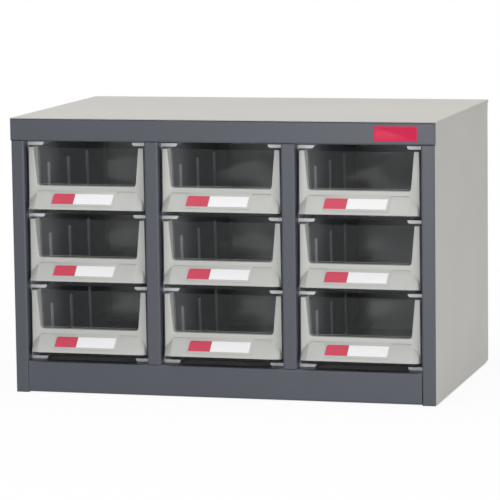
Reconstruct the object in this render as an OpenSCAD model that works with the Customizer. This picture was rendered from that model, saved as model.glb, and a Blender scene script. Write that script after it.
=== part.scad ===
// Steel parts cabinet with nine clear pull-out bins in three columns and three rows.
// Millimetres, +Z up, front towards -Y, origin at the bottom centre of the whole object.

/* [Cabinet] */
// Overall width, over the header and the top cover
cab_w = 586; // [500:1:700]
// Depth of the case from the face of the front frame to the back
cab_d = 370; // [355:1:450]
// Height of the case above the floor
cab_h = 375; // [345:1:460]
// Thickness of the case sheet
sheet_t = 1; // [0.8:0.1:1.2]
// How far the header and the cover stand out past each side panel
cap_lap = 1.2; // [1.2:0.1:2]
// Height of the down-turned side edges of the top cover
cover_edge = 4; // [3:0.5:10]
// Width of the inward flanges of the side panels
panel_flange = 14; // [10:0.5:15]

/* [Front frame] */
// Height of the header and the edge of the cover above the drawers
header_h = 31; // [24:0.5:45]
// Height of the base rail under the drawers
base_h = 43.5; // [30:0.5:60]
// Width of each end of the frame, over the stile and the header's lap
stile_w = 19.5; // [18.5:0.5:30]
// Width of each mullion between two columns
mullion_w = 19; // [16:0.5:30]
// Depth of the returns of the stiles and mullions
return_d = 16; // [14:0.5:24]
// Outer radius of the folds of the front frame
fold_r = 2.5; // [1.8:0.1:2.9]
// Height of the base rail's lower edge above the floor
rail_lift = 1; // [0.5:0.5:3]

/* [Badge] */
// Width of the blank plate on the header
badge_w = 58; // [30:1:80]
// Height of the blank plate on the header
badge_h = 20; // [10:1:22]
// Thickness of the blank plate
badge_t = 0.8; // [0.6:0.1:2]
// Distance of the plate from the end of the header
badge_inset = 24; // [20:1:60]

/* [Layout] */
// Columns of drawers
cols = 3; // [1:1:3]
// Rows of drawers
rows = 3; // [1:1:3]
// Drop of the highest runners below the header
top_drop = 2.5; // [2:0.5:8]
// Rise of the lowest runners above the base rail
base_rise = 4.8; // [4.6:0.1:8]

/* [Runners] */
// Thickness of the runner angles
runner_t = 1.2; // [0.8:0.1:1.4]
// Width of the shelf on which a bin slides
shelf_w = 22; // [18:0.5:26]
// Height of the leg that is welded to the liner
leg_h = 12; // [8:0.5:16]
// Height of the front end of each shelf, which is bent down
nose_h = 4.4; // [2.4:0.1:4.6]
// Setback of the runner angles behind the face of the frame
runner_setback = 18; // [16.5:0.5:24]
// Travel of a drawer until its rear lugs meet the stops
travel = 250; // [100:5:260]
// Width of the stops bent down from the shelves
stop_w = 10; // [5:0.5:14]
// How far a stop reaches below its shelf
stop_drop = 2.5; // [1.2:0.1:4]

/* [Bin] */
// Gap between a bin's side wall and the side of its bay
bin_side_gap = 5.8; // [3:0.1:12]
// Gap between a bin's rim and the runners above it
bin_top_gap = 9; // [6:0.5:16]
// Length of the bin along its floor
bin_len = 314; // [280:1:320]
// Wall thickness of the bin
bin_t = 2; // [1.5:0.1:3]
// Slope of the side and back walls, in degrees
bin_draft = 1; // [0.5:0.25:3]
// Backward lean of the front wall, in degrees
front_lean = 9.7; // [6:0.1:11]
// Pairs of divider ribs on each side wall
rib_pairs = 3; // [1:1:4]
// Length of the bin in front of its first ribs
rib_first = 63.5; // [40:0.5:90]
// Height of the divider ribs above the runners
rib_h = 64; // [40:1:76]
// Thickness of one rib
rib_w = 1.6; // [1.2:0.1:2.4]
// How far a rib stands out from the wall
rib_out = 2.4; // [1.5:0.1:3.5]
// Slot between the two ribs of a pair
rib_slot = 3; // [2:0.1:4]
// How far the rim stands out from the side walls
rim_out = 1.2; // [0.6:0.1:1.8]
// Height of the rim
rim_h = 3; // [2:0.5:5]
// Gap over the two rear lugs, which keep a pulled drawer level
lug_gap = 0.8; // [0.4:0.1:2]
// Width of each rear lug
lug_w = 18; // [10:1:30]
// Running clearance between a bin and its runners
slide_gap = 0.3; // [0.2:0.1:0.6]

/* [Drawer front] */
// Gap between the moulded front and the side of its bay
front_side_gap = 3.1; // [1.5:0.1:5]
// Gap between the posts beside the window and the runners above them
post_top_gap = 6.4; // [5.4:0.1:8]
// How much narrower each side is at the top of the posts
post_taper = 0.7; // [0.2:0.1:1.2]
// Wall thickness of the moulded front
front_t = 2.2; // [1.8:0.1:2.4]
// Setback of the posts behind the face of the frame
post_setback = 8.5; // [6:0.5:11]
// Width of a post at its top
post_top_w = 7.8; // [6:0.1:10]
// Width of a post at the window's sill
post_sill_w = 12.3; // [11:0.1:16]
// Height of the window's sill above the runners
sill_z = 39; // [37.8:0.2:44]
// Radius of the window's lower corners
window_r = 4; // [2:0.5:6]

/* [Hood] */
// Height at which the hood leaves the band under the window
crease_z = 32.5; // [30:0.1:33.5]
// Height of the hood's front lip above the runners
lip_z = 8.5; // [6.5:0.5:11]
// How far the lip stands in front of the posts
hood_out = 16; // [13:0.5:20]
// Drop of the hood's rim from the lip to the posts
rim_drop = 2; // [0.5:0.5:3]
// Distance of the hood's flat face from each side of the front
hood_end = 11.8; // [8:0.1:15]
// Depth of the chamfer at each end of the hood
hood_chamfer = 6; // [4:0.5:8]
// Inward taper of the hood's ends
hood_taper = 2.2; // [1:0.1:4]
// Depth of the shadow line under the band
crease_step = 1.3; // [0.6:0.1:2]

/* [Label] */
// Length of the raised label seat on the hood
seat_w = 90; // [89:0.5:100]
// Height of the label seat along the slope
seat_h = 23.6; // [22.5:0.1:26]
// Length of the label, card and tab together
label_w = 84.4; // [60:0.2:86]
// Length of the red tab at the left end of the label
tab_w = 30.6; // [15:0.2:45]
// Height of the label along the slope
label_h = 15.5; // [12:0.5:16]
// How far the middle of the seat lies left of the drawer's middle
seat_shift = 2; // [0:0.5:6]
// How far the middle of the label lies left of its seat's middle
label_shift = 1.2; // [0:0.1:1.4]
// Drop of the label's upper edge below the top of its seat
label_drop = 5; // [4:0.1:6]
// Thickness of the card and the tab
card_t = 0.4; // [0.3:0.1:0.6]
// Sideways lean of the label's ends over its height
label_lean = 1.2; // [0:0.2:1.6]
// Radius of the tab's upper outer corner
tab_r = 3; // [1:0.5:5]

/* [Back] */
// Rivets in each side of the back panel
rivet_rows = 3; // [2:1:6]
// Radius of a rivet's shank
rivet_r = 1.6; // [1.2:0.1:2.4]
// Height of a rivet's head
rivet_head = 1; // [0.6:0.1:1.6]
// Height of the back panel's lower edge above the floor
back_low = 6; // [2:1:20]

/* [Hidden] */
$fn = 48;
eps = 0.01;
far = 60;                                   // reach of the cutting shapes
STEEL_DARK = "#5d6067";
STEEL_LIGHT = "#cfceca";
ZINC = "#c6c8ca";
CLEAR = [0.42, 0.44, 0.46, 0.45];
MOULDED = "#bfc0bb";
WHITE = "#f2f2f4";
RED = "#c8324f";
round_lap = 0.02;                           // how far a window's round reaches past its flats
seam = 0.2;                                 // gap of butt seams
fit_gap = 0.1;                              // gap between a drawer front and its bin

// Case: distances in Y are behind the face of the front frame
lip_proud = hood_out - post_setback;        // the hood's lip ahead of the frame
frame_y = (lip_proud - cab_d - rivet_head) / 2;
body_w = cab_w - 2 * cap_lap;               // over the side panels
back_y = cab_d - sheet_t;                   // inner face of the back panel
inner_d = back_y - sheet_t;                 // up to the rear flanges of the side panels
cover_z = cab_h - sheet_t;                  // underside of the top cover
head_z = cab_h - header_h;                  // lower edge of the header
bay_w = (cab_w - 2 * stile_w - (cols - 1) * mullion_w) / cols;
corner_d = fold_r + 0.5;                    // depth of the frame's folded outer corners
case_fold_r = 1.6 * sheet_t;                // outer radius of the folds of the case
header_return = return_d - 4;               // depth of the header's lower return
header_top_return = return_d + 2;           // depth of the header's upper return
liner_y = header_return + 0.5;              // front edge of the liners
top_level = head_z - top_drop;              // shelves of the highest runners
row_pitch = (top_level - base_h - base_rise) / rows;
back_high = cover_z - panel_flange - seam;  // upper edge of the back panel
rivet_inset = 14;                           // end rivets from the edges of the back panel
rivet_head_r = 2 * rivet_r;

// Drawer: heights are above the shelves of its runners
bin_w = bay_w - 2 * bin_side_gap;
bin_h = row_pitch - bin_top_gap;
lug_top = row_pitch - runner_t - lug_gap;
front_w = bay_w - 2 * front_side_gap;
post_h = row_pitch - post_top_gap;
window_top_w = front_w - 2 * post_top_w;
window_sill_w = front_w - 2 * post_sill_w;
hood_face_w = front_w - 2 * hood_end;
lean_k = tan(front_lean);
draft_k = tan(bin_draft);
bin_foot_y = post_setback + front_t + 0.5;  // foot of the bin's leaning front wall
bin_back_y = bin_foot_y + bin_len;
rib_pitch = (bin_len - rib_first) / rib_pairs;
rim_y = post_setback + 1.5 * post_h * lean_k;  // the rim starts behind the moulded front
lug_y = bin_back_y + bin_h * draft_k;       // rear face of the lugs
stop_y = lug_y - bin_t - travel - seam;     // rear face of the stops
foot_z = lip_z - rim_drop;                  // foot of the posts
hood_k = (hood_out + crease_step) / (crease_z - lip_z);
hood_a = atan(hood_k);
step_n = crease_step * cos(hood_a);         // the shadow line, square to the slope
crease_w = hood_face_w - 2 * crease_step;   // length of the shadow line
seat_sink = 0.2;                            // setback of the label seat behind the band
label_x = -seat_shift - label_shift;        // middle of the label

function bay_x(c) = (c - (cols + 1) / 2) * (bay_w + mullion_w);
function level_z(n) = top_level - n * row_pitch;
function tag(c, r) = str("_c", c, "r", r);
function rivet_places() = [for (s = [-1, 1], i = [0 : rivet_rows - 1])
    [s * (body_w / 2 - panel_flange / 2),
     back_low + rivet_inset + i * (back_high - back_low - 2 * rivet_inset) / (rivet_rows - 1)]];

SIDES = ["left", "right"];

// ---- shapes shared by several pieces ----

// Rectangle whose two corners on the low Y side are rounded
module soft_rect(w, d, r) {
    translate([r, 0]) square([w - 2 * r, d]);
    translate([0, r]) square([w, d - r]);
    for (x = [r, w - r]) translate([x, r]) circle(r);
}

// Folded C section: web on the low Y side, legs of depth d
module channel(w, d, r) {
    difference() {
        soft_rect(w, d, r);
        translate([sheet_t, sheet_t]) soft_rect(w - 2 * sheet_t, d, r - sheet_t);
    }
}

// Runs an outline along +X from 0: its X is up and its Y is back
module along_x(len) translate([len, 0, 0]) rotate([0, -90, 0]) linear_extrude(len) children();

// Runs an outline in X and Z from y0 back to y1
module back_from(y0, y1) translate([0, y1, 0]) rotate([90, 0, 0]) linear_extrude(y1 - y0) children();

// Block with rounded front edges
module soft_block(w, h, d, r) {
    intersection() {
        linear_extrude(h) soft_rect(w, d, r);
        along_x(w) soft_rect(h, d, r);
    }
}

module box(lo, hi) translate(lo) cube(hi - lo);
module in_case() translate([0, frame_y, 0]) children();
module in_bay(c, r) translate([bay_x(c), frame_y, level_z(r)]) children();
module both_sides() for (s = [0, 1]) mirror([s, 0, 0]) children();

// ---- case ----

module top_cover() color(STEEL_LIGHT) in_case() {
    difference() {
        back_from(seam, cab_d) translate([-cab_w / 2, cab_h]) mirror([0, 1]) channel(cab_w, cover_edge, case_fold_r);
        // room for the folded ends of the header
        box([-cab_w, -eps, 0], [cab_w, corner_d + seam, cover_z]);
    }
    // rear edge, turned down above the back panel
    box([-cab_w / 2 + sheet_t, back_y, cover_z - panel_flange], [cab_w / 2 - sheet_t, cab_d, cover_z + eps]);
}

module header() color(STEEL_DARK) in_case() {
    h = cover_z - head_z;
    translate([-cab_w / 2, 0, head_z]) difference() {
        soft_block(cab_w, h, corner_d, fold_r);
        translate([sheet_t, sheet_t, sheet_t])
            soft_block(cab_w - 2 * sheet_t, h - 2 * sheet_t, corner_d, fold_r - sheet_t);
    }
    low = body_w / 2 - sheet_t;
    top = body_w / 2 - panel_flange - seam;
    box([-low, fold_r, head_z], [low, header_return, head_z + sheet_t]);
    box([-top, fold_r, cover_z - sheet_t], [top, header_top_return, cover_z]);
}

module badge_plate() color(RED) in_case()
    translate([cab_w / 2 - badge_inset - badge_w, -badge_t, (head_z + cover_z - badge_h) / 2])
        soft_block(badge_w, badge_h, badge_t, badge_t / 2);

// End stile, drawn for the left side; it stands on the floor
module stile() {
    face = stile_w - cap_lap;
    translate([-body_w / 2, 0, 0]) linear_extrude(head_z) {
        difference() {
            channel(face, return_d, fold_r);
            translate([-eps, corner_d]) square([sheet_t + 2 * eps, return_d]);
        }
        // outer return, joggled in behind the side panel
        translate([sheet_t, fold_r - sheet_t]) square([sheet_t, return_d - fold_r + sheet_t]);
    }
}
module stile_left() color(STEEL_DARK) in_case() stile();
module stile_right() color(STEEL_DARK) in_case() mirror([1, 0, 0]) stile();

module mullion(m) color(STEEL_DARK) in_case()
    translate([bay_x(m) + bay_w / 2, 0, base_h])
        linear_extrude(head_z - base_h) channel(mullion_w, return_d, fold_r);

module base_rail() color(STEEL_DARK) in_case() {
    w = cab_w - 2 * stile_w;
    translate([-w / 2, 0, rail_lift]) along_x(w) channel(base_h - rail_lift, return_d, fold_r);
}

module rivet_holes() for (p = rivet_places())
    translate([p[0], 0, p[1]]) back_from(inner_d - 1, cab_d + 1) circle(rivet_r + fit_gap);

// Side panel, drawn for the right side
module side_panel() {
    x = body_w / 2;
    y = corner_d + seam;
    difference() {
        union() {
            back_from(y, back_y) translate([x, 0]) rotate(90) channel(cover_z, panel_flange, case_fold_r);
            box([x - panel_flange, inner_d, case_fold_r], [x - sheet_t / 2, back_y, cover_z - case_fold_r]);
        }
        // the lower flange stops behind the stile
        box([x - panel_flange - eps, 0, -eps], [x - sheet_t, return_d + seam, sheet_t + eps]);
        rivet_holes();
    }
}
module side_panel_left() color(STEEL_LIGHT) in_case() mirror([1, 0, 0]) side_panel();
module side_panel_right() color(STEEL_LIGHT) in_case() side_panel();

module back_panel() color(STEEL_LIGHT) in_case() difference() {
    box([-body_w / 2, back_y, back_low], [body_w / 2, cab_d, back_high]);
    rivet_holes();
}

// Pop rivets: a low domed head on a plain shank
module back_rivets() color(ZINC) in_case()
    for (p = rivet_places()) translate([p[0], cab_d, p[1]]) rotate([-90, 0, 0]) {
        cylinder(r1 = rivet_head_r, r2 = rivet_r, h = rivet_head);
        translate([0, 0, -3 * sheet_t]) cylinder(r = rivet_r, h = 3 * sheet_t + eps);
    }

module floor_panel() color(STEEL_LIGHT) in_case() {
    z = base_h - 2 * sheet_t;
    front = cab_w / 2 - stile_w - seam;
    rear = body_w / 2 - sheet_t - seam;
    box([-front, fold_r + sheet_t, z], [front, return_d + seam + eps, z + sheet_t]);
    box([-rear, return_d + seam, z], [rear, inner_d, z + sheet_t]);
}

// ---- runners ----

// Upright plate lapped behind the return of a stile or mullion; s is 0 for a bay's left side
module liner(c, s) color(ZINC) in_case() translate([bay_x(c), 0, 0]) mirror([s, 0, 0])
    box([-bay_w / 2 - 2 * sheet_t, liner_y, base_h], [-bay_w / 2 - sheet_t, back_y, cover_z - sheet_t]);

// One runner angle with a bent nose; its leg points down from the shelf, or up at the lowest level.
// A shelf above a drawer has a stop for the drawer's lug.
module angle(z, up) {
    x = -bay_w / 2 - sheet_t;
    edge = x + sheet_t + shelf_w;
    y1 = inner_d - 2;
    box([x, runner_setback, z - runner_t], [edge, y1, z]);
    box([x, runner_setback, up ? z - runner_t : z - leg_h], [x + runner_t, y1, up ? z + leg_h : z]);
    back_from(runner_setback, runner_setback + runner_t)
        polygon([[x, z], [edge, z], [edge, z - nose_h / 2], [edge - nose_h / 2, z - nose_h], [x, z - nose_h]]);
    if (!up) box([edge - runner_t - stop_w, stop_y - runner_t, z - runner_t - stop_drop],
                 [edge - runner_t, stop_y, z - runner_t + eps]);
}

// All the angles of one column
module runners(c) color(ZINC) in_case() translate([bay_x(c), 0, 0])
    both_sides() for (n = [0 : rows]) angle(level_z(n), n == rows);

// ---- bin ----

// The bin's outer form from z0 to z1, with every upright wall moved in by the inset
module bin_form(inset, z0, z1) {
    w = bin_w / 2 - inset;
    lo = w - (bin_h - z0) * draft_k;
    hi = w - (bin_h - z1) * draft_k;
    foot = bin_foot_y + inset / cos(front_lean);
    back = bin_back_y - inset;
    intersection() {
        back_from(-far, cab_d + far) polygon([[-lo, z0], [lo, z0], [hi, z1], [-hi, z1]]);
        translate([-bin_w, 0, 0]) along_x(2 * bin_w)
            polygon([[z0, foot + z0 * lean_k], [z1, foot + z1 * lean_k],
                     [z1, back + z1 * draft_k], [z0, back + z0 * draft_k]]);
    }
}

// Ribs in pairs along both side walls; they follow the draft
module bin_ribs() {
    z0 = slide_gap + bin_t / 2;
    half = (rib_slot + rib_w) / 2;
    intersection() {
        difference() {
            bin_form(bin_t / 2, z0, rib_h);
            bin_form(bin_t + rib_out, 0, bin_h);
        }
        for (i = [1 : rib_pairs], s = [-half, half]) {
            y = bin_back_y - i * rib_pitch + s;
            box([-bin_w, y - rib_w / 2, 0], [bin_w, y + rib_w / 2, bin_h]);
        }
    }
}

module bin(c, r) color(CLEAR) in_bay(c, r) {
    difference() {
        union() {
            bin_form(0, slide_gap, bin_h);
            intersection() {
                bin_form(-rim_out, bin_h - rim_h, bin_h);
                box([-bin_w, rim_y, 0], [bin_w, cab_d, bin_h]);
            }
            both_sides() box([bin_w / 2 - lug_w, lug_y - bin_t, bin_h - rim_h], [bin_w / 2, lug_y, lug_top]);
        }
        bin_form(bin_t, slide_gap + bin_t, bin_h + far);
    }
    bin_ribs();
}

// ---- drawer front ----

// Outline of the window, grown by g; it stays open at the top
module window_outline(g) {
    a = atan((window_top_w - window_sill_w) / 2 / (post_h - sill_z));
    r = window_r + g;
    x = window_sill_w / 2 + window_r * tan(a) - window_r / cos(a);
    z = sill_z + window_r;
    flat = r - round_lap;                   // from the round's middle to the flats beside it
    jamb_x = x + flat * cos(a);
    jamb_z = z - flat * sin(a);
    top = post_h + far;
    top_x = jamb_x + (top - jamb_z) * tan(a);
    polygon([[-x, z - flat], [x, z - flat], [jamb_x, jamb_z], [top_x, top],
             [-top_x, top], [-jamb_x, jamb_z]]);
    for (s = [-1, 1]) translate([s * x, z]) circle(r);
}

// Half the width of the front at height z
function side_x(z) = front_w / 2 - post_taper * (z - foot_z) / (post_h - foot_z);

// Outline of the whole front with its sides and top moved in by g, and its foot moved down by g
module front_outline(g) {
    lo = side_x(foot_z - g) - g;
    hi = side_x(post_h - g) - g;
    polygon([[-lo, foot_z - g], [lo, foot_z - g], [hi, post_h - g], [-hi, post_h - g]]);
}

// Frame on the hood's slope: X right, Y square into the slope, Z up along it from the crease
module on_slope(back) translate([0, post_setback + back, crease_z]) rotate([-hood_a, 0, 0]) children();

// Bar along the slope whose faces lie g inside the hood's, with chamfered ends
module hood_bar(g) {
    face = (hood_face_w - g) / 2;
    end = front_w / 2 - g - hood_taper;
    root = end + 2 * hood_taper;
    tip = hood_chamfer + g / 2;
    intersection() {
        on_slope(crease_step) translate([0, 0, -far]) linear_extrude(2 * far)
            polygon([[-face, g], [face, g], [end, tip], [root, tip + 2 * hood_chamfer], [root, far],
                     [-root, far], [-root, tip + 2 * hood_chamfer], [-end, tip]]);
        back_from(-far, far) front_outline(g);
    }
}

// The space that the hood may fill: under the crease and above its sloping rim
module hood_space() {
    low = post_setback - 2 * hood_out;
    translate([-front_w, 0, 0]) along_x(2 * front_w)
        polygon([[foot_z + 2 * rim_drop, low], [crease_z, low], [crease_z, far], [foot_z, far],
                 [foot_z, post_setback]]);
}

// Hollow posts and band, with the window's jambs and a shadow line under the band
module post_frame() difference() {
    back_from(post_setback, post_setback + far) front_outline(0);
    difference() {
        back_from(post_setback + front_t, 2 * far) front_outline(front_t);
        back_from(0, 3 * far) window_outline(front_t);
    }
    back_from(0, 3 * far) window_outline(0);
    box([-crease_w / 2, 0, crease_z - 2 * crease_step], [crease_w / 2, post_setback + crease_step, crease_z]);
}

// Raised seat for the label, almost level with the band
module label_seat() on_slope(seat_sink) translate([-seat_shift, 0, 0])
    box([-seat_w / 2, 0, -seat_h], [seat_w / 2, step_n + front_t / 2, crease_step]);

module front(c, r) color(MOULDED) in_bay(c, r) {
    foot = bin_foot_y - fit_gap;
    difference() {
        union() {
            post_frame();
            intersection() {
                hood_bar(0);
                hood_space();
            }
            label_seat();
        }
        // finger space under the hood
        intersection() {
            hood_bar(front_t);
            box([-front_w, -far, -far], [front_w, far, crease_z]);
        }
        // room for the bin's leaning front wall
        translate([-front_w, 0, 0]) along_x(2 * front_w)
            polygon([[-far, foot - far * lean_k], [2 * far, foot + 2 * far * lean_k], [2 * far, 3 * far],
                     [-far, 3 * far]]);
    }
}

// ---- label ----

// Leaning piece of the label between x0 and x1 from its middle, glued to the seat
module label_piece(x0, x1) on_slope(seat_sink) translate([label_x, 0, -label_drop - label_h])
    back_from(-card_t, 0)
    polygon([[x0 - label_lean / 2, 0], [x1 - label_lean / 2, 0],
             [x1 + label_lean / 2, label_h], [x0 + label_lean / 2, label_h]]);

module card(c, r) color(WHITE) in_bay(c, r) label_piece(-label_w / 2 + tab_w, label_w / 2);

module tab(c, r) color(RED) in_bay(c, r) {
    x = -label_w / 2 + label_lean / 2;
    difference() {
        label_piece(-label_w / 2, -label_w / 2 + tab_w - fit_gap);
        // round the upper outer corner
        on_slope(seat_sink) translate([label_x + x, 0, -label_drop]) back_from(-1, 1) difference() {
            translate([-1, -tab_r]) square([tab_r + 1, tab_r + 1]);
            translate([tab_r, -tab_r]) circle(tab_r);
        }
    }
}

top_cover();
header();
badge_plate();
stile_left();
stile_right();
base_rail();
side_panel_left();
side_panel_right();
back_panel();
back_rivets();
floor_panel();
for (m = [1 : 1 : cols - 1]) mullion(m);
for (c = [1 : cols]) {
    runners(c);
    for (s = [0, 1]) liner(c, s);
    for (r = [1 : rows]) {
        bin(c, r);
        front(c, r);
        card(c, r);
        tab(c, r);
    }
}
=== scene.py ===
import math
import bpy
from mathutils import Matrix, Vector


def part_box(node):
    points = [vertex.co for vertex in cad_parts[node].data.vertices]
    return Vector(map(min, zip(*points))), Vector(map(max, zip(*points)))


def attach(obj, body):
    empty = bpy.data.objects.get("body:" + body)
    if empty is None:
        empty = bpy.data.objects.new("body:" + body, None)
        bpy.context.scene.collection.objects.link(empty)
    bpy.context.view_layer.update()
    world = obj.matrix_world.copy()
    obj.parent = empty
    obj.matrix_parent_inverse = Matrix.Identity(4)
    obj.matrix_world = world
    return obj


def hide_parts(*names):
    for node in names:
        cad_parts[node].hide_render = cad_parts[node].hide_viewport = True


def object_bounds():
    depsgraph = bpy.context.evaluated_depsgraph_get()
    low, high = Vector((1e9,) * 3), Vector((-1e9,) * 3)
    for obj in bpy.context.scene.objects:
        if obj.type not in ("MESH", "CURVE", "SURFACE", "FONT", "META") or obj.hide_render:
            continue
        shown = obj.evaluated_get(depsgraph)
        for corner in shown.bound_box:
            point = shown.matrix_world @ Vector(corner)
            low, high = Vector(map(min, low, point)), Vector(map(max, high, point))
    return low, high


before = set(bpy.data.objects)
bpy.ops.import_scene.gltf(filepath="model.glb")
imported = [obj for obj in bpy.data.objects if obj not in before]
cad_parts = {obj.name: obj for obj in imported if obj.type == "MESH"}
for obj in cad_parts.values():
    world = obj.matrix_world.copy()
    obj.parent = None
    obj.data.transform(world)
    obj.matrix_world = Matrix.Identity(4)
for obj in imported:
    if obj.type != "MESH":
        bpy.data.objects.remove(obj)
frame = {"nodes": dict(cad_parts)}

from types import SimpleNamespace

import bmesh
import bpy
from bpy.props import FloatProperty, FloatVectorProperty, IntProperty, PointerProperty
from mathutils import Matrix, Vector

CAD_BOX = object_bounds()

bl_info = {
    "name": "Parts cabinet with clear bins",
    "version": (1, 0, 0),
    "blender": (4, 5, 0),
    "location": "3D View > Sidebar > Cabinet",
    "description": "Models and finishes a steel parts cabinet with nine clear pull-out bins",
    "category": "Add Mesh",
}

MM = 0.001
SMALL_ROUND = 0.5  # millimetres; radius of the small edges of mouldings
APART = 0.03  # millimetres between the faces of solids that are joined side by side
TOUCHING = 0.01  # millimetres within which a point counts as lying on a face
NEAR = 0.1  # the same where cuts and rounds have moved the points a little
FACING = 0.99  # a face looks along an axis where its normal's share of it is over this
ALONG = 0.9  # an edge or a normal runs along an axis where its share of it is over this
SMOOTH_MOULDED = 32  # degrees; a moulding is shaded smooth across bends under this
SMOOTH_METAL = 40  # the same for small pressed pieces
POLYSTYRENE_IOR = 1.59
DRAWERS = [(column, row) for column in (1, 2, 3) for row in (1, 2, 3)]
CASE_NODES = ["top_cover", "side_panel_left", "side_panel_right", "back_panel", "floor_panel"]
FRAME_NODES = ["header", "stile_left", "stile_right", "base_rail", "mullion_1", "mullion_2"]
LINER_NODES = [f"liner_{c}_{side}" for c in (1, 2, 3) for side in ("left", "right")]
RUNNER_NODES = [f"runners_{c}" for c in (1, 2, 3)]


def linear(code):
    """An sRGB hex colour as three linear values."""
    parts = [int(code[i:i + 2], 16) / 255 for i in (1, 3, 5)]
    return tuple(p / 12.92 if p <= 0.04045 else ((p + 0.055) / 1.055) ** 2.4 for p in parts)


def shade_of(colour, factor):
    """A lighter or darker shade of a colour, with its alpha."""
    return tuple(min(1, c * factor) for c in colour) + (1,)


# ---- what a user would change ----


def length(name, description, value):
    """A size in millimetres, kept in metres."""
    return FloatProperty(name=name, description=description, default=value * MM, unit="LENGTH",
                         precision=5)


def angle(name, description, value):
    """An angle in degrees, kept in radians."""
    return FloatProperty(name=name, description=description, default=math.radians(value),
                         subtype="ANGLE")


def colour(name, description, code):
    """A colour from its sRGB hex value."""
    return FloatVectorProperty(name=name, description=description, default=linear(code),
                               subtype="COLOR", size=3, min=0, max=1)


class CabinetFrontSizes(bpy.types.PropertyGroup):
    """Sizes of the moulded drawer front"""
    width: length("Width", "Width of the front at its foot", 163.467)
    post_top: length("Post height", "Top of the posts above the runners", 91.333)
    post_taper: length("Post taper", "How much narrower each side is at the top", 0.7)
    wall: length("Wall", "Wall thickness of the moulding", 2.2)
    setback: length("Setback", "Posts behind the face of the frame", 8.5)
    window_top: length("Window top", "Width of the window at the top of the posts", 147.867)
    window_sill: length("Window sill", "Width of the window at its sill", 138.867)
    sill: length("Sill height", "Height of the window's sill", 39)
    window_round: length("Window corners", "Radius of the window's lower corners", 4)
    crease: length("Crease height", "Height at which the hood leaves the band", 32.5)
    crease_step: length("Crease step", "Depth of the shadow line under the band", 1.3)
    lip: length("Lip height", "Height of the hood's front lip", 8.5)
    hood_out: length("Hood depth", "How far the lip stands in front of the posts", 16)
    rim_drop: length("Rim drop", "Drop of the hood's rim from the lip to the posts", 2)
    hood_face: length("Hood face", "Length of the hood's flat face", 139.867)
    chamfer: length("Hood chamfer", "Depth of the chamfer at each end of the hood", 6)
    hood_taper: length("Hood taper", "Inward taper of the hood's ends", 2.2)
    seat_width: length("Seat length", "Length of the raised label seat", 90)
    seat_height: length("Seat height", "Height of the label seat along the slope", 23.6)
    seat_shift: length("Seat shift", "How far the seat lies left of the drawer's middle", 2)
    seat_sink: length("Seat sink", "Setback of the label seat behind the band", 0.2)
    edge: length("Soft edge", "Width of the rounding along the outer edges", 0.9)


class CabinetBinSizes(bpy.types.PropertyGroup):
    """Sizes of the clear bin"""
    width: length("Width", "Width of the bin over its side walls", 158.067)
    height: length("Height", "Height of the rim above the runners", 88.733)
    depth: length("Length", "Length of the bin along its floor", 314)
    wall: length("Wall", "Wall thickness of the bin", 2)
    gap: length("Running gap", "Clearance between the bin and its runners", 0.3)
    foot: length("Foot", "Foot of the leaning front wall behind the frame", 11.2)
    draft: angle("Draft", "Slope of the side and back walls", 1)
    lean: angle("Lean", "Backward lean of the front wall", 9.7)
    corner: length("Corner", "Radius of the outer corners", 4.5)
    rib_top: length("Rib top", "Height of the divider ribs", 64)
    rib_first: length("First ribs", "Length of the bin in front of its first ribs", 63.5)
    rib_width: length("Rib width", "Thickness of one rib", 1.6)
    rib_out: length("Rib depth", "How far a rib stands out from the wall", 2.4)
    rib_slot: length("Rib slot", "Slot between the two ribs of a pair", 3)
    rim_out: length("Rim", "How far the rim stands out from the walls", 1.2)
    rim_height: length("Rim height", "Height of the rim", 3)
    lug_top: length("Lug top", "Top of the two rear lugs", 95.733)
    lug_width: length("Lug width", "Width of each rear lug", 18)
    pane_gap: length("Pane gap", "Gap between the raised pane and the window round it", 1)
    pane_rise: length("Pane rise", "How far the pane stands in front of the wall", 1.2)
    bead_rise: length("Bead rise", "How far the bead over the pane stands in front of the wall", 2)
    rib_pairs: IntProperty(name="Rib pairs", description="Pairs of ribs on each side wall",
                           default=3, min=1, max=6)


class CabinetColours(bpy.types.PropertyGroup):
    """Colours of the cabinet"""
    case: colour("Case", "Light grey powder coat of the case", "#b8b6b0")
    frame: colour("Frame", "Dark grey powder coat of the front frame", "#4a4d57")
    zinc: colour("Zinc", "Galvanised sheet of the runners", "#c9cccf")
    # the liners' sheet is drawn lighter than the runners' to stand in for light that hardly
    # reaches inside the bays: painted light
    liner: colour("Liner", "Galvanised sheet of the upright liners", "#d8d8d6")
    bin: colour("Bin", "Tint of the clear bins", "#f5f6f7")
    front: colour("Drawer front", "Grey of the moulded fronts", "#c0c1bd")
    card: colour("Card", "White of the label card", "#fbfbfd")
    tab: colour("Tab", "Red end of the label", "#cf3a55")
    plate: colour("Plate", "Red of the blank header plate", "#d41a4c")
    rivet: colour("Rivet", "Aluminium of the rivets", "#c9cbcd")
    floor: colour("Floor", "Pale studio floor", "#fbfbfb")


# ---- modelling, in millimetres until a piece is put in place ----


def millimetres(group):
    """A property group's sizes in millimetres; angles and counts as they are."""
    values = {}
    for name, prop in group.bl_rna.properties.items():
        if name not in ("rna_type", "name"):
            value = getattr(group, name)
            values[name] = value / MM if getattr(prop, "unit", "") == "LENGTH" else value
    return SimpleNamespace(**values)


def only(obj):
    """Makes obj the one selected and active object, in object mode."""
    if bpy.context.object and bpy.context.object.mode != "OBJECT":
        bpy.ops.object.mode_set(mode="OBJECT")
    bpy.ops.object.select_all(action="DESELECT")
    if obj:
        obj.select_set(True)
        bpy.context.view_layer.objects.active = obj
    return obj


def block(low, high):
    """A box between two corners, which later cuts and bevels shape."""
    only(None)
    low, high = Vector(low), Vector(high)
    bpy.ops.mesh.primitive_cube_add(size=1, location=(low + high) / 2, scale=high - low)
    bpy.ops.object.transform_apply(location=True, rotation=True, scale=True)
    return bpy.context.object


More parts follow.
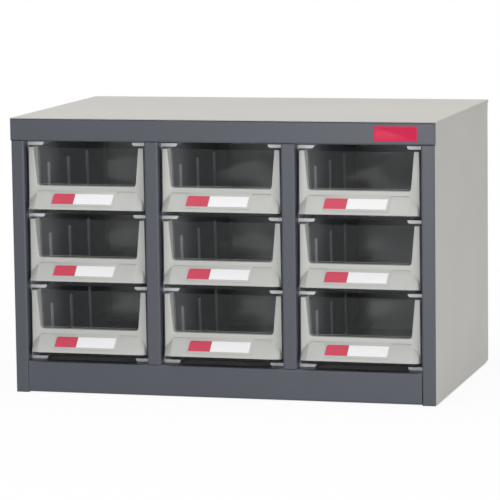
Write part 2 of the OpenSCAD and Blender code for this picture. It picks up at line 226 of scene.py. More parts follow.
def carve(obj, *planes):
    """Cuts away what lies beyond each plane, a point and its outward normal, and closes it."""
    only(obj)
    bpy.ops.object.mode_set(mode="EDIT")
    for point, normal in planes:
        bpy.ops.mesh.select_all(action="SELECT")
        bpy.ops.mesh.bisect(plane_co=point, plane_no=Vector(normal).normalized(), use_fill=True,
                            clear_outer=True, threshold=1e-5)
    return only(obj)


def pick(obj, kind, test):
    """Opens obj in edit mode with just those edges or faces selected that pass the test."""
    only(obj)
    bpy.ops.object.mode_set(mode="EDIT")
    bpy.ops.mesh.select_mode(type=kind)
    bpy.ops.mesh.select_all(action="DESELECT")
    mesh = bmesh.from_edit_mesh(obj.data)
    for part in mesh.edges if kind == "EDGE" else mesh.faces:
        part.select = test(part)
    mesh.select_flush_mode()
    bmesh.update_edit_mesh(obj.data)


def soften(obj, radius, segments, test):
    """Rounds the edges whose middle and direction pass the test."""
    def chosen(edge):
        start, end = (vertex.co for vertex in edge.verts)
        return test((start + end) / 2, (end - start).normalized())

    pick(obj, "EDGE", chosen)
    bpy.ops.mesh.bevel(offset=radius, segments=segments, affect="EDGES")
    return only(obj)


def combine(obj, other, operation):
    """Adds the other solid to obj, or cuts it out."""
    only(obj)
    modifier = obj.modifiers.new("combine", "BOOLEAN")
    modifier.operation = operation
    modifier.solver = "MANIFOLD"
    modifier.object = other
    bpy.ops.object.modifier_apply(modifier=modifier.name)
    bpy.data.objects.remove(other, do_unlink=True)
    return obj


def gather(objects):
    """Joins loose solids into one object."""
    only(objects[0])
    for obj in objects:
        obj.select_set(True)
    bpy.ops.object.join()
    return only(objects[0])


def tidy(obj, smooth):
    """Merges doubles, drops flat seams and the empty slots that cuts leave, and shades smooth
    across bends under the angle, in degrees."""
    doubles, flat = 0.0005, 0.5  # millimetres and degrees
    only(obj)
    obj.data.materials.clear()
    bpy.ops.object.mode_set(mode="EDIT")
    bpy.ops.mesh.select_all(action="SELECT")
    bpy.ops.mesh.remove_doubles(threshold=doubles)
    bpy.ops.mesh.dissolve_limited(angle_limit=math.radians(flat))
    bpy.ops.mesh.normals_make_consistent(inside=False)
    only(obj)
    bpy.ops.object.shade_smooth_by_angle(angle=math.radians(smooth))
    return obj


def put(obj, name, origin, materials, body, slot, *nodes):
    """Brings a piece to metres and to its place, gives it its finishes and lets it ride."""
    obj.name = obj.data.name = name
    obj.scale = (MM, MM, MM)
    obj.location = origin
    only(obj)
    bpy.ops.object.transform_apply(location=True, rotation=True, scale=True)
    for material in materials:
        obj.data.materials.append(material)
    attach(obj, body)
    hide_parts(*nodes)
    return obj


def put_copies(obj, kind, name, materials, slot):
    """Puts one copy of a drawer's piece, each with its own mesh, in every drawer."""
    for column, row in DRAWERS:
        tag = f"c{column}r{row}"
        copy = obj.copy()
        copy.data = obj.data.copy()
        bpy.context.scene.collection.objects.link(copy)
        put(copy, f"{name}_{tag}", drawer_origin(tag), materials, f"drawer_{tag}", slot,
            f"{kind}_{tag}")
    bpy.data.objects.remove(obj, do_unlink=True)


def drawer_origin(tag):
    """A drawer's middle, on the face of the frame and level with its runners."""
    s = bpy.context.scene.cabinet_front
    low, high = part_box(f"front_{tag}")
    return Vector(((low.x + high.x) / 2, low.y + s.hood_out - s.setback,
                   low.z - s.lip + s.rim_drop))


# ---- materials ----


def feed(tree, node, values=None, links=None):
    """Sets a node's sockets to values and links others to their sources."""
    for socket, value in (values or {}).items():
        node.inputs[socket].default_value = value
    for socket, source in (links or {}).items():
        tree.links.new(source, node.inputs[socket])
    return node


def add(tree, kind, values=None, links=None, stops=(), **settings):
    """Adds a node with its settings, a ramp's stops, socket values and links."""
    made = tree.nodes.new("ShaderNode" + kind)
    for name, value in settings.items():
        setattr(made, name, value)
    for index, (position, tone) in enumerate(stops):
        made.color_ramp.elements[index].position = position
        made.color_ramp.elements[index].color = tone
    return feed(tree, made, values, links)


def start(name):
    """A new material, its tree, its shader and the Object coordinates."""
    material = bpy.data.materials.new(name)
    material.use_nodes = True
    tree = material.node_tree
    place = add(tree, "TexCoord")
    return material, tree, tree.nodes["Principled BSDF"], place.outputs["Object"]


def powder_coat(name, colour, gloss, peel):
    """Polyester powder coat on steel: an even colour under a low sheen, with orange peel
    about 2 mm from crest to crest and a faint cloudiness, about 140 mm across, from uneven
    film."""
    material, tree, shader, place = start(name)
    cloud = add(tree, "TexNoise", {"Scale": 7, "Detail": 3}, {"Vector": place})
    tint = add(tree, "ValToRGB", links={"Fac": cloud.outputs["Fac"]},
               stops=((0.3, shade_of(colour, 0.97)), (0.7, shade_of(colour, 1.02))))
    skin = add(tree, "TexNoise", {"Scale": 1 / (2 * MM), "Detail": 1}, {"Vector": place})
    sheen = add(tree, "MapRange", {"To Min": gloss - 0.03, "To Max": gloss + 0.05},
                {"Value": skin.outputs["Fac"]})
    bump = add(tree, "Bump", {"Strength": peel, "Distance": 0.05 * MM},
               {"Height": skin.outputs["Fac"]})
    feed(tree, shader, links={"Base Color": tint.outputs["Color"],
                              "Roughness": sheen.outputs["Result"],
                              "Normal": bump.outputs["Normal"]})
    return material


def galvanised(name, colour, metallic):
    """Hot-dip galvanised sheet: a dull metal with crystal spangles about 9 mm across, each a
    little lighter or darker than the next. With no metal sheen and a lighter colour it makes the
    liners' sheet, a lighter copy that stands in for light inside the dim bays (painted light)."""
    material, tree, shader, place = start(name)
    cells = add(tree, "TexVoronoi", {"Scale": 1 / (9 * MM)}, {"Vector": place})
    grey = add(tree, "RGBToBW", links={"Color": cells.outputs["Color"]})
    tint = add(tree, "ValToRGB", links={"Fac": grey.outputs["Val"]},
               stops=((0, shade_of(colour, 0.86)), (1, shade_of(colour, 1.1))))
    dull = add(tree, "MapRange", {"To Min": 0.38, "To Max": 0.52}, {"Value": grey.outputs["Val"]})
    feed(tree, shader, {"Metallic": metallic}, {"Base Color": tint.outputs["Color"],
                                                "Roughness": dull.outputs["Result"]})
    return material


def clear_polystyrene(name, colour):
    """Injection-moulded clear polystyrene: see-through with the faintest cool cast, mirror-like
    where it is seen at a slant, and flow ripples about 14 mm apart that bend its highlights."""
    material, tree, shader, place = start(name)
    flow = add(tree, "TexNoise", {"Scale": 1 / (14 * MM), "Detail": 1}, {"Vector": place})
    bump = add(tree, "Bump", {"Strength": 0.25, "Distance": 0.2 * MM},
               {"Height": flow.outputs["Fac"]})
    # Schlick's reflection of one surface, the same whether a ray enters the wall or leaves it
    facing = add(tree, "LayerWeight", {"Blend": 0.5})
    slant = add(tree, "Math", {1: 5}, {0: facing.outputs["Facing"]}, operation="POWER")
    mirror = add(tree, "MapRange", {"To Min": 0.052, "To Max": 1}, {"Value": slant.outputs[0]})
    clear = add(tree, "BsdfTransparent", {"Color": shade_of(colour, 1)})
    both = add(tree, "MixShader", links={0: mirror.outputs["Result"], 1: clear.outputs[0],
                                         2: shader.outputs[0]})
    feed(tree, shader, {"Base Color": shade_of(colour, 0.3), "Roughness": 0.08,
                        "IOR": POLYSTYRENE_IOR}, {"Normal": bump.outputs["Normal"]})
    feed(tree, tree.nodes["Material Output"], links={"Surface": both.outputs[0]})
    return material


def painted_highlight_polystyrene(name, colour):
    """The same plastic where it stands edge-on, as in a rib, with a milky white laid over the
    clear: a painted highlight for the light that clear edges carry."""
    material, tree, shader, place = start(name)
    highlight_mottle = add(tree, "TexNoise", {"Scale": 1 / (9 * MM), "Detail": 2}, {"Vector": place})
    # milky white over the clear plastic, a painted highlight, mottled at random
    cover = add(tree, "MapRange", {"To Min": 0.25, "To Max": 0.4}, {"Value": highlight_mottle.outputs["Fac"]})
    feed(tree, shader, {"Base Color": shade_of(colour, 1), "Roughness": 0.15,
                        "IOR": POLYSTYRENE_IOR}, {"Alpha": cover.outputs["Result"]})
    return material


def moulded_abs(name, colour):
    """Injection-moulded ABS: an even satin grey with a fine spark-eroded grain and a faint
    drift of shade along the flow, about 35 mm across. The real grain is about 0.15 mm and is
    drawn at 0.6 mm so that it shows."""
    material, tree, shader, place = start(name)
    grain = add(tree, "TexNoise", {"Scale": 1 / (0.6 * MM), "Detail": 2}, {"Vector": place})
    flow = add(tree, "TexNoise", {"Scale": 1 / (35 * MM), "Detail": 2}, {"Vector": place})
    tint = add(tree, "ValToRGB", links={"Fac": flow.outputs["Fac"]},
               stops=((0.3, shade_of(colour, 0.975)), (0.7, shade_of(colour, 1.015))))
    sheen = add(tree, "MapRange", {"To Min": 0.3, "To Max": 0.42}, {"Value": grain.outputs["Fac"]})
    bump = add(tree, "Bump", {"Strength": 0.2, "Distance": 0.03 * MM},
               {"Height": grain.outputs["Fac"]})
    feed(tree, shader, links={"Base Color": tint.outputs["Color"],
                              "Roughness": sheen.outputs["Result"],
                              "Normal": bump.outputs["Normal"]})
    return material


def card_stock(name, colour, roughness):
    """Uncoated card: a matt sheet whose fibres, about 1 mm long, mottle it very slightly."""
    material, tree, shader, place = start(name)
    fibre = add(tree, "TexNoise", {"Scale": 1 / MM, "Detail": 3}, {"Vector": place})
    tint = add(tree, "ValToRGB", links={"Fac": fibre.outputs["Fac"]},
               stops=((0, shade_of(colour, 0.95)), (1, shade_of(colour, 1.03))))
    bump = add(tree, "Bump", {"Strength": 0.15, "Distance": 0.03 * MM},
               {"Height": fibre.outputs["Fac"]})
    feed(tree, shader, {"Roughness": roughness}, {"Base Color": tint.outputs["Color"],
                                                  "Normal": bump.outputs["Normal"]})
    return material


def enamelled_plate(name, colour):
    """Stoved enamel on a small pressed plate: a deep colour that pools a little, about 12 mm
    across, under a thin clear coat."""
    material, tree, shader, place = start(name)
    pool = add(tree, "TexNoise", {"Scale": 1 / (12 * MM), "Detail": 1}, {"Vector": place})
    tint = add(tree, "ValToRGB", links={"Fac": pool.outputs["Fac"]},
               stops=((0, shade_of(colour, 0.94)), (1, shade_of(colour, 1.05))))
    feed(tree, shader, {"Roughness": 0.42, "Specular IOR Level": 0.25, "Coat Weight": 0.06,
                        "Coat Roughness": 0.25}, {"Base Color": tint.outputs["Color"]})
    return material


def plain_aluminium(name, colour):
    """Bare aluminium of a pop rivet: bright, with scuffs about 1.2 mm long from the setting
    tool."""
    material, tree, shader, place = start(name)
    scuff = add(tree, "TexNoise", {"Scale": 1 / (1.2 * MM), "Detail": 3}, {"Vector": place})
    dull = add(tree, "MapRange", {"To Min": 0.25, "To Max": 0.5}, {"Value": scuff.outputs["Fac"]})
    feed(tree, shader, {"Base Color": shade_of(colour, 1), "Metallic": 1},
         {"Roughness": dull.outputs["Result"]})
    return material


def finish(nodes, material):
    """Gives CAD nodes their material."""
    for name in nodes:
        slots = frame["nodes"][name].data.materials
        slots.clear()
        slots.append(material)


# ---- shapes of the drawer ----


def side_plane(s, sign, inset):
    """Tapered side of the drawer front, moved in by the inset."""
    rise = s.post_top - s.lip + s.rim_drop
    return ((sign * (s.width / 2 - inset), 0, s.lip - s.rim_drop),
            (sign * rise, 0, s.post_taper))


def window_block(s, grow):
    """Space of the window, which is open at the top and has rounded lower corners."""
    half = s.window_sill / 2 + grow
    spread = (s.window_top - s.window_sill) / 2 / (s.post_top - s.sill)
    before, behind, above = 20, 80, 20  # past the front on its three open sides
    obj = block((-s.width / 2, -before, s.sill - grow), (s.width / 2, behind, s.post_top + above))
    carve(obj, *[((sign * half, 0, s.sill), (sign, 0, -spread)) for sign in (-1, 1)])
    return soften(obj, s.window_round + grow, 6,
                  lambda mid, way: abs(way.y) > ALONG and mid.z < s.sill - grow + NEAR)


def hood_slope(s):
    """Angle of the hood's face from upright."""
    return math.atan((s.hood_out + s.crease_step) / (s.crease - s.lip))


def hood_block(s, inset):
    """Bar along the hood's slope whose faces lie inside the hood's by the inset. It reaches
    up into the band."""
    slope = hood_slope(s)
    out = Vector((0, -math.cos(slope), math.sin(slope)))
    top = Vector((0, s.setback + s.crease_step, s.crease)) - out * inset
    face = (s.hood_face - inset) / 2
    end = s.width / 2 - inset - s.hood_taper
    tip = s.chamfer - inset / 2
    foot = s.lip - s.rim_drop + APART - 2 * inset
    before, behind = 40, 58 + inset  # in front of the slope, and far into the front's back
    into_band = 0.5 + 0.2 * inset
    obj = block((-s.width / 2, -before, foot), (s.width / 2, behind, s.crease + into_band))
    planes = [(top, out)]
    for sign in (-1, 1):
        side = Vector((sign, 0, 0))
        planes.append((top + side * face, side * tip + out * (end - face)))
        planes.append((top + side * end - out * tip, side * s.chamfer + out * s.hood_taper))
        planes.append(side_plane(s, sign, inset + APART))
    if inset == 0:
        planes.append(((0, s.setback, foot), (0, -s.rim_drop, -s.hood_out)))
    return carve(obj, *planes)


class CABINET_OT_drawer_fronts(bpy.types.Operator):
    """Models the moulded drawer front with its window, hood and label seat, nine times over"""
    bl_idname = "cabinet.drawer_fronts"
    bl_label = "Drawer fronts"

    def execute(self, context):
        s = millimetres(context.scene.cabinet_front)
        b = millimetres(context.scene.cabinet_bin)
        foot = s.lip - s.rim_drop
        behind = 60  # as deep as the block is before the bin's wall cuts it

        # posts and band: a tapered block with the window cut out and its front edges rounded
        front = block((-s.width / 2, s.setback, foot), (s.width / 2, behind, s.post_top))
        carve(front, side_plane(s, -1, 0), side_plane(s, 1, 0))
        combine(front, window_block(s, 0), "DIFFERENCE")
        soften(front, s.edge, 3,
               lambda mid, way: mid.y < s.setback + TOUCHING and mid.z > foot + 1)

        # the inside is hollow behind the front wall and beside the window's jambs
        hollow = block((-s.width / 2, s.setback + s.wall, foot - s.wall),
                       (s.width / 2, 1.5 * behind, s.post_top - s.wall))
        carve(hollow, side_plane(s, -1, s.wall), side_plane(s, 1, s.wall))
        combine(hollow, window_block(s, s.wall), "DIFFERENCE")
        combine(front, hollow, "DIFFERENCE")

        # shadow line under the band, a little deeper than the hood's ridge stands
        notch, deeper = s.hood_face / 2 - s.crease_step, 0.15
        shadow = block((-notch, 0, s.crease - 2 * s.crease_step),
                       (notch, s.setback + s.crease_step + deeper, s.crease))
        combine(front, shadow, "DIFFERENCE")

        # hood: sloping bar with chamfered ends, rounded along its ridges and its lip
        hood = hood_block(s, 0)
        soften(hood, s.edge, 3, lambda mid, way: mid.y < s.setback + s.crease_step - 1
               and mid.z < s.crease - 1 and abs(mid.x) < s.width / 2 - 0.5)
        combine(front, hood, "UNION")

        # raised label seat
        slope = hood_slope(s)
        depth = s.crease_step * math.cos(slope) + s.wall / 2
        seat = block((-s.seat_width / 2, 0, -s.seat_height),
                     (s.seat_width / 2, depth, s.crease_step))
        soften(seat, SMALL_ROUND, 2,
               lambda mid, way: mid.y < TOUCHING and mid.z < s.crease_step - NEAR)
        seat.rotation_euler.x = -slope
        seat.location = (-s.seat_shift, s.setback + s.seat_sink, s.crease)
        only(seat)
        bpy.ops.object.transform_apply(location=True, rotation=True, scale=True)
        combine(front, seat, "UNION")

        # finger space under the hood, and room for the bin's leaning front wall
        combine(front, hood_block(s, s.wall), "DIFFERENCE")
        low, high = (-s.width, -40, -60), (s.width, 160, 160)  # past the front all round
        room = 0.1  # between the front's rear edges and the bin's wall
        wedge = carve(block(low, high), ((0, b.foot - room, 0), (0, -1, math.tan(b.lean))))
        combine(front, wedge, "DIFFERENCE")
        tidy(front, SMOOTH_MOULDED)

        grey = moulded_abs("moulded_abs_satin", context.scene.cabinet_colours.front)
        put_copies(front, "front", "drawer_front", [grey], "moulded_grey")
        return {"FINISHED"}


def bin_form(b, inset, low, high, front=0):
    """The bin's outer form with every wall moved in by the inset."""
    draft, lean = math.tan(b.draft), math.tan(b.lean)
    behind = 500  # past the bin's back wall
    obj = block((-b.width, front, low), (b.width, behind, high))
    planes = [((sign * (b.width / 2 - inset), 0, b.height), (sign, 0, -draft)) for sign in (-1, 1)]
    planes.append(((0, b.foot + b.depth - inset, 0), (0, 1, -draft)))
    planes.append(((0, b.foot + inset / math.cos(b.lean), 0), (0, -1, lean)))
    return carve(obj, *planes)


def rib(b, sign, middle):
    """One upright divider rib that follows the draft of its wall."""
    draft = math.tan(b.draft)
    wall = b.width / 2 - b.wall
    ends = sorted((sign * 60, sign * 90))  # past the rib on both sides
    obj = block((ends[0], middle - b.rib_width / 2, b.gap + b.wall / 2),
                (ends[1], middle + b.rib_width / 2, b.rib_top))
    carve(obj, ((sign * (wall + b.wall / 2), 0, b.height), (sign, 0, -draft)),
          ((sign * (wall - b.rib_out), 0, b.height), (-sign, 0, draft)))
    return soften(obj, SMALL_ROUND, 2, lambda mid, way: abs(mid.x) < wall - b.rib_out / 2 and
                  (abs(way.z) > ALONG or mid.z > b.rib_top - NEAR))


def gets_painted_highlight(b, face):
    """Whether a face of the bin belongs to a rib, to the rim's top or to the pane's edge: the
    faces that get the painted highlight.
    """
    off_wall, off_floor, off_front, off_back, off_pane, flat = 0.2, 1, 20, 10, 0.15, 0.97
    x, y, z = face.center
    wall = b.width / 2 - b.wall - (b.height - z) * math.tan(b.draft)
    rib = (wall - 1.5 * b.rib_out < abs(x) < wall - off_wall
           and b.foot + off_front < y < b.foot + b.depth - off_back
           and z > b.gap + b.wall + off_floor)
    proud = b.foot + z * math.tan(b.lean) - y
    pane = off_pane < proud < b.pane_rise + NEAR and face.normal.y > -flat
    return rib or pane or face.normal.z > ALONG and z > b.height - NEAR


class CABINET_OT_clear_bins(bpy.types.Operator):
    """Models the clear bin with its rim, divider ribs and rear lugs, nine times over"""
    bl_idname = "cabinet.clear_bins"
    bl_label = "Clear bins"

    def execute(self, context):
        b = millimetres(context.scene.cabinet_bin)
        s = millimetres(context.scene.cabinet_front)
        lean = math.tan(b.lean)
        back = b.foot + b.depth + b.height * math.tan(b.draft)

        shell = bin_form(b, 0, b.gap, b.height)
        soften(shell, b.corner, 5, lambda mid, way: abs(way.z) > ALONG or mid.z < b.gap + TOUCHING)

        # rim, from behind the moulded front round the sides and the back
        rim = bin_form(b, -b.rim_out, b.height - b.rim_height, b.height,
                       s.setback + 1.5 * s.post_top * lean)
        rear = 200  # behind this lie only the middles of the edges at the rear
        soften(rim, b.corner + b.rim_out, 5,
               lambda mid, way: abs(way.z) > ALONG and mid.y > rear)
        soften(rim, SMALL_ROUND, 2,
               lambda mid, way: abs(way.z) < 0.5 and (abs(way.y) > ALONG or mid.y > rear))
        combine(shell, rim, "UNION")

        # raised pane that fills the window of the moulded front, and a bead along its top
        pane_round, face_share = 0.9, 0.9  # edges further out than this share are the face's
        for rise, low in ((b.pane_rise, 0), (b.bead_rise, b.height - b.rim_height)):
            pane = window_block(s, -b.pane_gap)
            carve(pane, ((0, b.foot - rise / math.cos(b.lean), 0), (0, -1, lean)),
                  ((0, b.foot + b.wall / 2, 0), (0, 1, -lean)),
                  ((0, 0, b.height), (0, 0, 1)), ((0, 0, low), (0, 0, -1)))
            soften(pane, pane_round, 2,
                   lambda mid, way: mid.y < b.foot + mid.z * lean - face_share * rise
                   and mid.z < b.height - NEAR)
            combine(shell, pane, "UNION")

        # two rear lugs with rounded tops
        lug_round = 2.5
        for sign in (-1, 1):
            ends = sorted((sign * b.width / 2, sign * (b.width / 2 - b.lug_width)))
            lug = block((ends[0], back - b.wall, b.height - b.rim_height),
                        (ends[1], back, b.lug_top))
            soften(lug, lug_round, 4,
                   lambda mid, way: mid.z > b.lug_top - NEAR and abs(way.y) > ALONG)
            combine(shell, lug, "UNION")

        # open space of the bin, past its rim
        inside = bin_form(b, b.wall, b.gap + b.wall, b.height + 20)
        soften(inside, b.corner - b.wall, 5,
               lambda mid, way: abs(way.z) > ALONG or mid.z < b.gap + b.wall + TOUCHING)
        combine(shell, inside, "DIFFERENCE")

        pitch = (b.depth - b.rib_first) / b.rib_pairs
        ribs = [rib(b, sign, b.foot + b.rib_first + pair * pitch + step)
                for sign in (-1, 1) for pair in range(b.rib_pairs)
                for step in (-(b.rib_slot + b.rib_width) / 2, (b.rib_slot + b.rib_width) / 2)]
        combine(shell, gather(ribs), "UNION")
        tidy(shell, SMOOTH_MOULDED)

        # the ribs, the rim's top and the pane's edges get the milky painted highlight
        for face in shell.data.polygons:
            face.material_index = int(gets_painted_highlight(b, face))
        tint = context.scene.cabinet_colours.bin
        put_copies(shell, "bin", "clear_bin",
                   [clear_polystyrene("clear_polystyrene_gloss", tint),
                    # the second material paints a milky highlight on the ribs, the rim's top and
                    # the pane's edges
                    painted_highlight_polystyrene("clear_polystyrene_painted_highlight", tint)], "clear_polystyrene")
        return {"FINISHED"}


class CABINET_OT_case_finish(bpy.types.Operator):
    """Gives the sheet-metal case, the front frame and the runners their finishes"""
    bl_idname = "cabinet.case_finish"
    bl_label = "Case finish"

    def execute(self, context):
        colours = context.scene.cabinet_colours
        finish(CASE_NODES, powder_coat("light_powder_coat_satin", colours.case, 0.42, 0.25))
        finish(FRAME_NODES, powder_coat("dark_powder_coat_satin", colours.frame, 0.36, 0.25))
        finish(RUNNER_NODES, galvanised("galvanised_sheet_spangled", colours.zinc, 0.2))
        # a lighter, unmetallic copy of the runners' sheet: painted light inside the dim bays
        finish(LINER_NODES, galvanised("galvanised_sheet_painted_lighter", colours.liner, 0))
        return {"FINISHED"}


class CABINET_OT_labels(bpy.types.Operator):
    """Gives the label cards and their red tabs their finishes"""
    bl_idname = "cabinet.labels"
    bl_label = "Labels"

    def execute(self, context):
        colours = context.scene.cabinet_colours
        card = card_stock("card_uncoated_matt", colours.card, 0.75)
        tab = card_stock("card_red_satin", colours.tab, 0.5)
        for kind, material in (("card", card), ("tab", tab)):
            finish([f"{kind}_c{column}r{row}" for column, row in DRAWERS], material)
        return {"FINISHED"}


class CABINET_OT_header_plate(bpy.types.Operator):
    """Models the blank red plate on the header, with a raised border"""
    bl_idname = "cabinet.header_plate"
    bl_label = "Header plate"

    def execute(self, context):
        corner_round, edge_round, border, sunk = 1.5, 0.35, 1.2, 0.25
        low, high = (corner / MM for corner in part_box("badge_plate"))
        plate = block(low, high)
        soften(plate, corner_round, 4, lambda mid, way: abs(way.y) > ALONG)
        soften(plate, edge_round, 2, lambda mid, way: mid.y < low.y + TOUCHING)
        pick(plate, "FACE", lambda face: face.normal.y < -FACING)
        bpy.ops.mesh.inset(thickness=border, depth=-sunk)
        tidy(plate, SMOOTH_METAL)
        put(plate, "header_plate", (0, 0, 0),
            [enamelled_plate("enamelled_plate_gloss", context.scene.cabinet_colours.plate)],
            "cabinet", "badge_plastic", "badge_plate")
        return {"FINISHED"}


class CABINET_OT_back_rivets(bpy.types.Operator):
    """Models the pop rivets of the back panel, with domed heads and punched middles"""
    bl_idname = "cabinet.back_rivets"
    bl_label = "Back rivets"

    def execute(self, context):
        low, high = (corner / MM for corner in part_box("back_rivets"))
        head, shank, rise, reach = 3.2, 1.6, 1.0, 3  # two radii, dome height, shank length
        # each step narrows the end face and moves it in or out: the dome with its punched
        # middle on the side of the head, the shank on the other
        dome = ((1.0, 0), (0.6, -0.05), (0.35, -0.45))
        stem = ((head - shank, 0), (0, reach))
        rivets = []
        for x in (low.x + head, high.x - head):
            for share in (0, 0.5, 1):
                z = low.z + head + share * (high.z - low.z - 2 * head)
                only(None)
                bpy.ops.mesh.primitive_cylinder_add(vertices=32, radius=head, depth=rise,
                                                    location=(x, high.y - rise / 2, z),
                                                    rotation=(-math.pi / 2, 0, 0))
                rivet = bpy.context.object
                bpy.ops.object.transform_apply(location=True, rotation=True, scale=True)
                for way, steps in ((1, dome), (-1, stem)):
                    pick(rivet, "FACE", lambda face: face.normal.y * way > FACING)
                    for width, depth in steps:
                        if width:
                            bpy.ops.mesh.inset(thickness=width, depth=depth)
                        else:
                            bpy.ops.mesh.extrude_region_move(
                                TRANSFORM_OT_translate={"value": (0, -depth, 0)})
                soften(rivet, SMALL_ROUND, 3, lambda mid, way: mid.y > high.y - TOUCHING and
                       math.hypot(mid.x - x, mid.z - z) > head - 2 * NEAR)
                rivets.append(rivet)
        rivets = tidy(gather(rivets), SMOOTH_METAL)
        put(rivets, "pop_rivets", (0, 0, 0),
            [plain_aluminium("aluminium_scuffed", context.scene.cabinet_colours.rivet)],
            "cabinet", "rivet_aluminium", "back_rivets")
        return {"FINISHED"}


# ---- stage ----

FLOOR_SIZE = 40  # metres
LIGHT_LAYERS = 24  # clear surfaces that light may cross, so that it reaches the liners
SHADE = 0.22  # how brightly the surroundings light the object; to the eye they are white
# name, place and target in metres, side in metres, power in watts
LAMPS = (
    ("top_softbox", (-0.1, -0.35, 2.6), (0, 0, 0.3), 1.8, 42),
    ("front_softbox", (-0.05, -3.2, 0.4), (0, 0, 0.2), 0.7, 17),
    ("side_softbox", (3.3, -2.6, 0.6), (0.1, 0, 0.2), 1.2, 52),
)
CAMERA_PLACE = (1.0878, -4.0044, 0.7179)
CAMERA_YAW, CAMERA_PITCH, CAMERA_ROLL = 0.2672, 0.1294, -0.0133  # radians
SENSOR_WIDTH = 36  # millimetres
FOCAL_LENGTH = 3008.88  # pixels of a picture that is PICTURE_WIDTH wide
PICTURE_WIDTH = 500


def brightest(tree, *sources):
    """The largest of several values."""
    found = sources[0]
    for source in sources[1:]:
        found = add(tree, "Math", links={0: found, 1: source}, operation="MAXIMUM").outputs[0]
    return found


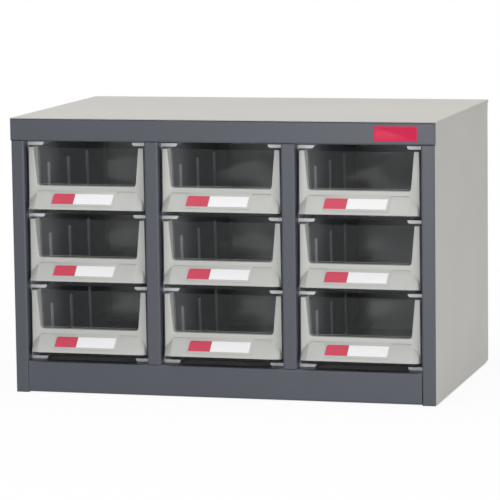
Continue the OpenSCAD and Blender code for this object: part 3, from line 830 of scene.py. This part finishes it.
class CABINET_OT_stage(bpy.types.Operator):
    """Sets up the pale floor, the soft studio light and the camera"""
    bl_idname = "cabinet.stage"
    bl_label = "Stage"

    def execute(self, context):
        scene = context.scene
        scene.view_settings.view_transform = "Standard"
        scene.cycles.transparent_max_bounces = LIGHT_LAYERS

        only(None)
        bpy.ops.mesh.primitive_plane_add(size=FLOOR_SIZE, location=(0, 0, CAD_BOX[0].z))
        floor = context.object
        floor.name = "studio_floor"
        bpy.ops.object.mode_set(mode="EDIT")
        bpy.ops.mesh.subdivide(number_cuts=9)
        only(floor)
        bpy.ops.object.transform_apply(location=True, rotation=True, scale=True)
        material, tree, shader, place = start("floor_paper_matt")
        feed(tree, shader, {"Base Color": shade_of(scene.cabinet_colours.floor, 1),
                            "Roughness": 0.9, "Specular IOR Level": 0.1})
        # to the eye the paper is lifted towards white: not at all within the footprint, which
        # ends short of the case's sides and back, almost wholly a hair outside it, and wholly
        # a metre away
        side_inset, back_inset, hair, nearly = 3 * MM, 17 * MM, 1.5 * MM, 0.93
        half = (CAD_BOX[1].x - side_inset, CAD_BOX[1].y - back_inset, 0)
        mirrored = add(tree, "VectorMath", links={0: place}, operation="ABSOLUTE")
        beside = add(tree, "VectorMath", {1: half}, {0: mirrored.outputs[0]}, operation="SUBTRACT")
        outside = add(tree, "VectorMath", {1: (0, 0, 0)}, {0: beside.outputs[0]},
                      operation="MAXIMUM")
        reach = add(tree, "VectorMath", links={0: outside.outputs[0]}, operation="LENGTH")
        lift = add(tree, "ValToRGB", links={"Fac": reach.outputs["Value"]})
        lift.color_ramp.elements.new(hair).color = shade_of((1, 1, 1), nearly)
        path = add(tree, "LightPath").outputs
        seen = brightest(tree, path["Is Camera Ray"], path["Is Glossy Ray"])
        share = add(tree, "Math", links={0: lift.outputs["Color"], 1: seen}, operation="MULTIPLY")
        white = add(tree, "Emission", {"Color": (1, 1, 1, 1), "Strength": 1})
        paper = add(tree, "MixShader", links={0: share.outputs[0], 1: shader.outputs[0],
                                              2: white.outputs[0]})
        feed(tree, tree.nodes["Material Output"], links={"Surface": paper.outputs[0]})
        floor.data.materials.append(material)

        world = bpy.data.worlds.new("studio_world")
        scene.world = world
        world.use_nodes = True
        tree = world.node_tree
        path = add(tree, "LightPath").outputs
        seen = brightest(tree, path["Is Camera Ray"], path["Is Glossy Ray"],
                         path["Is Transmission Ray"])
        strength = add(tree, "MapRange", {"To Min": SHADE, "To Max": 1}, {"Value": seen})
        feed(tree, tree.nodes["Background"], {"Color": (1, 1, 1, 1)},
             {"Strength": strength.outputs["Result"]})

        for name, place, aim, size, power in LAMPS:
            lamp = bpy.data.lights.new(name, "AREA")
            lamp.shape = "SQUARE"
            lamp.size = size
            lamp.energy = power
            light = bpy.data.objects.new(name, lamp)
            light.location = place
            ray = Vector(aim) - Vector(place)
            light.rotation_euler = ray.to_track_quat("-Z", "Y").to_euler()
            scene.collection.objects.link(light)

        camera_data = bpy.data.cameras.new("camera")
        camera_data.sensor_width = SENSOR_WIDTH
        camera_data.lens = FOCAL_LENGTH * SENSOR_WIDTH / PICTURE_WIDTH
        camera = bpy.data.objects.new("camera", camera_data)
        camera.matrix_world = (Matrix.Translation(CAMERA_PLACE)
                               @ Matrix.Rotation(CAMERA_YAW, 4, "Z")
                               @ Matrix.Rotation(math.pi / 2 - CAMERA_PITCH, 4, "X")
                               @ Matrix.Rotation(CAMERA_ROLL, 4, "Z"))
        scene.collection.objects.link(camera)
        scene.camera = camera
        return {"FINISHED"}


STEPS = (CABINET_OT_case_finish, CABINET_OT_clear_bins, CABINET_OT_drawer_fronts,
         CABINET_OT_labels, CABINET_OT_header_plate, CABINET_OT_back_rivets, CABINET_OT_stage)
GROUPS = (CabinetFrontSizes, CabinetBinSizes, CabinetColours)


class CABINET_PT_panel(bpy.types.Panel):
    """Lists the cabinet's steps, sizes and colours"""
    bl_idname = "CABINET_PT_panel"
    bl_label = "Parts cabinet"
    bl_space_type = "VIEW_3D"
    bl_region_type = "UI"
    bl_category = "Cabinet"

    def draw(self, context):
        for step in STEPS:
            self.layout.operator(step.bl_idname)
        for group in (context.scene.cabinet_front, context.scene.cabinet_bin,
                      context.scene.cabinet_colours):
            box = self.layout.box()
            for name in group.bl_rna.properties.keys():
                if name not in ("rna_type", "name"):
                    box.prop(group, name)


def register():
    """Registers the classes and hangs the settings on the scene."""
    for made in GROUPS + STEPS + (CABINET_PT_panel,):
        bpy.utils.register_class(made)
    bpy.types.Scene.cabinet_front = PointerProperty(type=CabinetFrontSizes)
    bpy.types.Scene.cabinet_bin = PointerProperty(type=CabinetBinSizes)
    bpy.types.Scene.cabinet_colours = PointerProperty(type=CabinetColours)


def unregister():
    """Takes the settings and the classes away again."""
    del bpy.types.Scene.cabinet_colours
    del bpy.types.Scene.cabinet_bin
    del bpy.types.Scene.cabinet_front
    for made in reversed(GROUPS + STEPS + (CABINET_PT_panel,)):
        bpy.utils.unregister_class(made)


def main():
    """Builds and stages the cabinet."""
    register()
    bpy.ops.cabinet.case_finish()
    bpy.ops.cabinet.clear_bins()
    bpy.ops.cabinet.drawer_fronts()
    bpy.ops.cabinet.labels()
    bpy.ops.cabinet.header_plate()
    bpy.ops.cabinet.back_rivets()
    bpy.ops.cabinet.stage()


if __name__ == "__main__":
    main()
